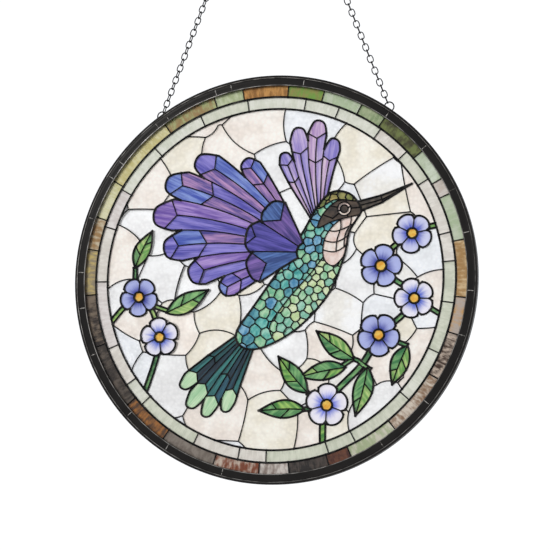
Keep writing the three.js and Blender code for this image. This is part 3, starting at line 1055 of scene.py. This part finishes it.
# %% Eyes on the back of the rim
def rim_eye(side):
    bm = wire_ring(STAPLE_RADIUS, LINK_WIRE, 24, 8)
    bmesh.ops.transform(bm, matrix=Matrix.Rotation(math.radians(90), 4, "Z"), verts=bm.verts)
    bmesh.ops.bisect_plane(bm, geom=bm.verts[:] + bm.edges[:] + bm.faces[:], plane_co=(0, 0, 0),
                           plane_no=(0, -1, 0), clear_outer=True)
    bmesh.ops.remove_doubles(bm, verts=bm.verts, dist=1e-3)
    bmesh.ops.holes_fill(bm, edges=[e for e in bm.edges if len(e.link_faces) == 1], sides=0)
    bmesh.ops.translate(bm, vec=(0, EYE_DEPTH, STAPLE_FROM_CENTRE), verts=bm.verts)
    bmesh.ops.transform(bm, matrix=Matrix.Rotation(side * JUMP_ANGLE, 4, "Y"), verts=bm.verts)
    return bm


for name, side in (("left", -1), ("right", 1)):
    solder_pieces.append(finished(f"solder_eye_{name}", rim_eye(side), [f"rim_eye_{name}"], 60))

# %% [markdown]
# Every finish below is a small recipe of shader nodes. To read like sums, the recipes use one
# class that holds a socket: adding or multiplying two of them adds the Math node that does it,
# and any other node comes from one method that is told the node's kind, settings and inputs.

# %% Shader kit
class Wire:
    """A socket of a shader node that can stand in sums."""

    def __init__(self, tree, socket=None):
        self.tree = tree
        self.socket = socket

    def node(self, kind, settings=None, values=None, output=0):
        made = self.tree.nodes.new("ShaderNode" + kind)
        for key, value in (settings or {}).items():
            if key == "stops":
                ramp = made.color_ramp.elements
                while len(ramp) < len(value):
                    ramp.new(1.0)
                for stop, (position, colour) in zip(ramp, value):
                    stop.position = position
                    stop.color = (*colour, 1) if len(colour) == 3 else colour
            else:
                setattr(made, key, value)
        for key, value in (values or {}).items():
            if isinstance(value, Wire):
                self.tree.links.new(value.socket, made.inputs[key])
            else:
                made.inputs[key].default_value = value
        return Wire(self.tree, made.outputs[output] if made.outputs else None)

    def math(self, operation, a, b=0.0):
        return self.node("Math", {"operation": operation}, {0: a, 1: b})

    def __add__(self, other):
        return self.math("ADD", self, other)

    def __sub__(self, other):
        return self.math("SUBTRACT", self, other)

    def __rsub__(self, other):
        return self.math("SUBTRACT", other, self)

    def __mul__(self, other):
        return self.math("MULTIPLY", self, other)

    def __truediv__(self, other):
        return self.math("DIVIDE", self, other)

    __radd__ = __add__
    __rmul__ = __mul__

    def smoothed(self, low, high):
        """0 below low, 1 above high, and a soft step in between."""
        return self.node("MapRange", {"interpolation_type": "SMOOTHSTEP"},
                         {"Value": self, "From Min": low, "From Max": high})

    def blend(self, first, second):
        """A mix of two colours, with this value as its factor."""
        return self.node("Mix", {"data_type": "RGBA"}, {0: self, 6: first, 7: second}, 2)

    def shaded(self, amount):
        """This colour made darker where the amount is below 1 and lighter where it is above."""
        grey = self.node("CombineXYZ", None, {0: amount, 1: amount, 2: amount})
        return self.node("VectorMath", {"operation": "MULTIPLY"}, {0: self, 1: grey})

    def parts(self):
        made = self.tree.nodes.new("ShaderNodeSeparateXYZ")
        self.tree.links.new(self.socket, made.inputs[0])
        return [Wire(self.tree, output) for output in made.outputs]

    def vector(self, x, y, z):
        return self.node("CombineXYZ", None, {0: x, 1: y, 2: z})

    def attribute(self, name, output):
        return self.node("Attribute", {"attribute_name": name}, None, output)

    def noise(self, vector, scale=1.0, detail=3.0, roughness=0.55):
        values = {"Vector": vector, "Scale": scale, "Detail": detail, "Roughness": roughness}
        return self.node("TexNoise", None, values)


def material(name, make, **plain):
    """A material whose varying inputs come from a recipe and whose other inputs are plain."""
    made = bpy.data.materials.new(name)
    made.use_nodes = True
    tree = made.node_tree
    tree.nodes.clear()
    kit = Wire(tree)
    inputs = {key.replace("_", " "): value for key, value in plain.items()}
    inputs.update(make(kit))
    shader = kit.node("BsdfPrincipled", None, inputs)
    kit.node("OutputMaterial", None, {"Surface": shader})
    return made


def bump(kit, height, strength, distance):
    return kit.node("Bump", None, {"Height": height, "Strength": strength, "Distance": distance * MM})


def dress(piece, finish):
    piece.data.materials.clear()
    piece.data.materials.append(finish)


print("shader kit ready")

# %% [markdown]
# Art glass is rolled in sheets while it is still soft, so its colours are drawn out into streaks,
# and its face is rippled or hammered. It hangs in a window and glows with the light behind it, so
# most of the light goes through: a high transmission with a rough surface, which blurs what lies
# behind. The pattern itself only changes the base colour.

# %% Streaky glass of the border
TILE_RADIUS = 139.0  # turns an angle into millimetres along the tiles


def tints(kit):
    return kit.attribute("tint", 0), kit.attribute("second", 0)


def border_streaks(kit):
    tint, second = tints(kit)
    u, v, seed = kit.attribute("grain", 1).parts()
    radius = kit.math("SQRT", u * u + v * v)
    angle = kit.math("ARCTAN2", v, u) * TILE_RADIUS
    wisps = kit.noise(kit.vector(radius * 0.16, angle * 0.42, seed), 1.0, 5.0, 0.62)
    cloud = kit.noise(kit.vector(radius * 0.1, angle * 0.07, seed + 9.0), 1.0, 2.0)
    factor = (wisps * 0.66 + cloud * 0.34).smoothed(0.42, 0.59)
    fine = kit.noise(kit.vector(radius * 0.1, angle * 1.9, seed), 1.0, 2.0)
    colour = factor.blend(tint, second).shaded(fine * 0.36 + 0.82)
    relief = kit.noise(kit.vector(radius * 0.5, angle * 0.5, seed), 1.0, 2.0)
    return {"Base Color": colour, "Normal": bump(kit, relief, 0.35, 0.3)}


GLASS = {"Roughness": 0.42, "IOR": 1.5, "Transmission_Weight": 0.85}
border_glass = material("streaky_border_glass", border_streaks, **GLASS)
for slot in ("outer_border_glass", "inner_border_glass"):
    dress(glass_pieces[slot], border_glass)


# %% Hammered ground glass
def hammered(kit):
    tint, second = tints(kit)
    place = kit.node("TexCoord", None, None, 3)
    dents = kit.node("TexVoronoi", {"feature": "SMOOTH_F1"},
                     {"Vector": place, "Scale": 1 / (2.6 * MM), "Smoothness": 0.6})
    broad = kit.noise(place, 1 / (14 * MM), 2.0)
    colour = broad.smoothed(0.38, 0.62).blend(tint, second)
    # Painted shade: the base colour is darker with the hammered dent pattern, standing for light bent by the
    # relief, and a little lighter under the broad clouds at random.
    colour = colour.shaded(dents * -0.3 + broad * 0.1 + 1.1)
    return {"Base Color": colour, "Normal": bump(kit, dents, 0.5, 0.5)}


dress(glass_pieces["ground_glass"], material("hammered_ground_glass", hammered, **GLASS))


# %% Leaf and petal glass
def leaf_streaks(kit):
    tint, second = tints(kit)
    u, v, seed = kit.attribute("grain", 1).parts()
    out = kit.math("ABSOLUTE", v)
    veins = kit.noise(kit.vector((u - out * 1.1) * 0.34, out * 0.06, seed), 1.0, 4.0, 0.6)
    cloud = kit.noise(kit.vector(u * 0.07, v * 0.12, seed + 5.0), 1.0, 2.0)
    factor = (veins * 0.6 + cloud * 0.4).smoothed(0.4, 0.64)
    colour = factor.blend(tint, second).shaded(veins * 0.5 + 0.75)
    return {"Base Color": colour, "Normal": bump(kit, veins, 0.3, 0.3)}


def petal_rays(kit):
    tint, second = tints(kit)
    u, v, seed = kit.attribute("grain", 1).parts()
    radius = kit.math("SQRT", u * u + v * v)
    angle = kit.math("ARCTAN2", v, u)
    rays = kit.noise(kit.vector(angle * 5.5, radius * 0.05, seed), 1.0, 3.0, 0.6)
    reach = (radius + rays * -9.0 + 4.2).smoothed(3.0, 11.5)
    blush = kit.noise(kit.vector(u * 0.12, v * 0.12, seed), 1.0, 2.0)
    colour = reach.blend(tint, second).shaded(blush * 0.24 + 0.88)
    return {"Base Color": colour, "Normal": bump(kit, rays, 0.25, 0.3)}


dress(glass_pieces["leaf_glass"], material("green_leaf_glass", leaf_streaks, **GLASS))
dress(glass_pieces["petal_glass"], material("rayed_petal_glass", petal_rays, **GLASS))


# %% Feather glass and pebbles
def feather_streaks(kit):
    tint, second = tints(kit)
    u, v, seed = kit.attribute("grain", 1).parts()
    drawn = kit.noise(kit.vector(u * 0.035, v * 0.33, seed), 1.0, 5.0, 0.6)
    fine = kit.noise(kit.vector(u * 0.05, v * 1.5, seed), 1.0, 2.0)
    factor = (drawn * 0.72 + fine * 0.28).smoothed(0.38, 0.64)
    colour = factor.blend(tint, second).shaded(fine * 0.5 + 0.75)
    return {"Base Color": colour, "Normal": bump(kit, drawn, 0.3, 0.3)}


def pebble_clouds(kit):
    tint, second = tints(kit)
    u, v, seed = kit.attribute("grain", 1).parts()
    cloud = kit.noise(kit.vector(u * 0.2, v * 0.34, seed), 1.0, 3.0)
    fine = kit.noise(kit.vector(u * 0.9, v * 1.4, seed), 1.0, 2.0)
    colour = cloud.smoothed(0.35, 0.66).blend(tint, second).shaded(fine * 0.3 + 0.85)
    return {"Base Color": colour, "Normal": bump(kit, cloud, 0.4, 0.4)}


feather_glass = material("drawn_feather_glass", feather_streaks, **GLASS)
pebble_glass = material("clouded_pebble_glass", pebble_clouds, **GLASS)
for slot in ("far_wing_glass", "near_wing_glass", "covert_glass", "tail_glass"):
    dress(glass_pieces[slot], feather_glass)
for slot in ("back_glass", "breast_glass", "throat_glass", "crown_glass", "cheek_glass", "bill_glass",
             "flower_centre_glass"):
    dress(glass_pieces[slot], pebble_glass)

# %% [markdown]
# The metals are all dark. The solder is blackened with patina and a little uneven, the rim has a
# satin black coat with painted highlights, thin bright rings along its lip and groove, and the chain
# is blackened steel that shines where the links wear against each other.

# %% Metals
def patina(kit):
    place = kit.node("TexCoord", None, None, 3)
    cloud = kit.noise(place, 1 / (5 * MM), 4.0)
    fine = kit.noise(place, 1 / (0.6 * MM), 3.0)
    colour = cloud.smoothed(0.45, 0.75).blend((0.008, 0.008, 0.009, 1), (0.045, 0.042, 0.04, 1))
    return {"Base Color": colour, "Roughness": cloud * 0.3 + 0.26, "Normal": bump(kit, fine, 0.2, 0.1)}


def satin_black_with_painted_highlights(kit):
    place = kit.node("TexCoord", None, None, 3)
    x, y, z = place.parts()
    z = z - centre.z
    radius = kit.math("SQRT", x * x + z * z) / MM
    # Painted highlights: thin bright rings on the lip and in the groove stand for light caught by their
    # rounded edges, broken up by noise.
    lip = 1 - kit.math("ABSOLUTE", radius - 142.62).smoothed(0.1, 0.32)
    groove = 1 - kit.math("ABSOLUTE", radius - 148.15).smoothed(0.08, 0.25)
    wear_and_highlight_noise = kit.noise(place, 1 / (9 * MM), 4.0).smoothed(0.38, 0.62)
    painted_highlight = (lip + groove * 0.8) * (wear_and_highlight_noise * 0.75 + 0.25)
    cloud = kit.noise(place, 1 / (20 * MM), 3.0)
    base = cloud.blend((0.005, 0.0045, 0.004, 1), (0.018, 0.016, 0.015, 1))
    # The painted highlight lightens the black coat towards a pale grey metal colour.
    colour = kit.math("MINIMUM", painted_highlight, 1.0).blend(base, (0.42, 0.40, 0.38, 1))
    fine = kit.noise(place, 1 / (0.8 * MM), 3.0)
    return {"Base Color": colour, "Roughness": cloud * 0.2 + 0.28, "Normal": bump(kit, fine, 0.12, 0.1)}


def worn_notch(kit):
    place = kit.node("TexCoord", None, None, 3)
    wear_and_highlight_noise = kit.noise(place, 1 / (1.5 * MM), 3.0)
    colour = wear_and_highlight_noise.smoothed(0.35, 0.65).blend((0.05, 0.045, 0.04, 1), (0.5, 0.48, 0.45, 1))
    return {"Base Color": colour, "Roughness": wear_and_highlight_noise * 0.2 + 0.28}


def blackened_steel(kit):
    place = kit.node("TexCoord", None, None, 3)
    wear_and_highlight_noise = kit.noise(place, 1 / (1.2 * MM), 3.0)
    colour = wear_and_highlight_noise.smoothed(0.5, 0.75).blend((0.012, 0.012, 0.012, 1), (0.09, 0.085, 0.08, 1))
    return {"Base Color": colour, "Roughness": wear_and_highlight_noise * 0.25 + 0.22}


solder = material("blackened_solder", patina, Metallic=0.85)
rim_coat_with_painted_highlights = material("satin_black_rim_with_painted_highlights", satin_black_with_painted_highlights, Metallic=0.7)
steel = material("blackened_steel", blackened_steel, Metallic=0.9)
dress(rim, rim_coat_with_painted_highlights)
dress(rim_notches, material("worn_notch", worn_notch, Metallic=0.9))
dress(hanging_ring, steel)
for piece in solder_pieces:
    dress(piece, solder)
for piece in chains:
    dress(piece, steel)
print(len(bpy.data.materials), "materials")

# %% [markdown]
# The panel hangs in front of a bright, pale room, so its glass is lit from behind, and a large
# soft light from the front left draws the solder and the rim. The floor is far below it.

# %% Stage and light
FLOOR = -1.6


def stage():
    bm = bmesh.new()
    bmesh.ops.create_grid(bm, x_segments=1, y_segments=1, size=20, matrix=Matrix.Translation((0, 0, FLOOR)))
    mesh = bpy.data.meshes.new("floor")
    bm.to_mesh(mesh)
    bm.free()
    floor = bpy.data.objects.new("floor", mesh)
    bpy.context.collection.objects.link(floor)
    dress(floor, material("pale_floor", lambda kit: {"Base Color": (0.82, 0.81, 0.79, 1)}, Roughness=0.8))


def room():
    world = bpy.data.worlds.new("bright_room")
    world.use_nodes = True
    tree = world.node_tree
    tree.nodes.clear()
    kit = Wire(tree)
    direction = kit.node("TexCoord", None, None, 0)
    x, y, z = direction.parts()
    behind = (y + z * 0.25).smoothed(-0.6, 0.5)
    colour = behind.blend((0.66, 0.67, 0.69, 1), (0.97, 0.98, 1.0, 1))
    shader = kit.node("Background", None, {"Color": colour, "Strength": 1.08})
    kit.node("OutputWorld", None, {"Surface": shader})
    bpy.context.scene.world = world


def soft_light(name, spot, power, size):
    data = bpy.data.lights.new(name, "AREA")
    data.energy = power
    data.shape = "DISK"
    data.size = size
    lamp = bpy.data.objects.new(name, data)
    lamp.location = centre + Vector(spot)
    lamp.rotation_euler = Vector(spot).to_track_quat("Z", "Y").to_euler()
    bpy.context.collection.objects.link(lamp)


stage()
room()
soft_light("front_left", (-1.0, -1.1, 0.9), 7, 0.8)
soft_light("front_right", (1.2, -0.9, 0.3), 3, 0.5)
bpy.context.scene.view_settings.view_transform = "Standard"
print("lit")
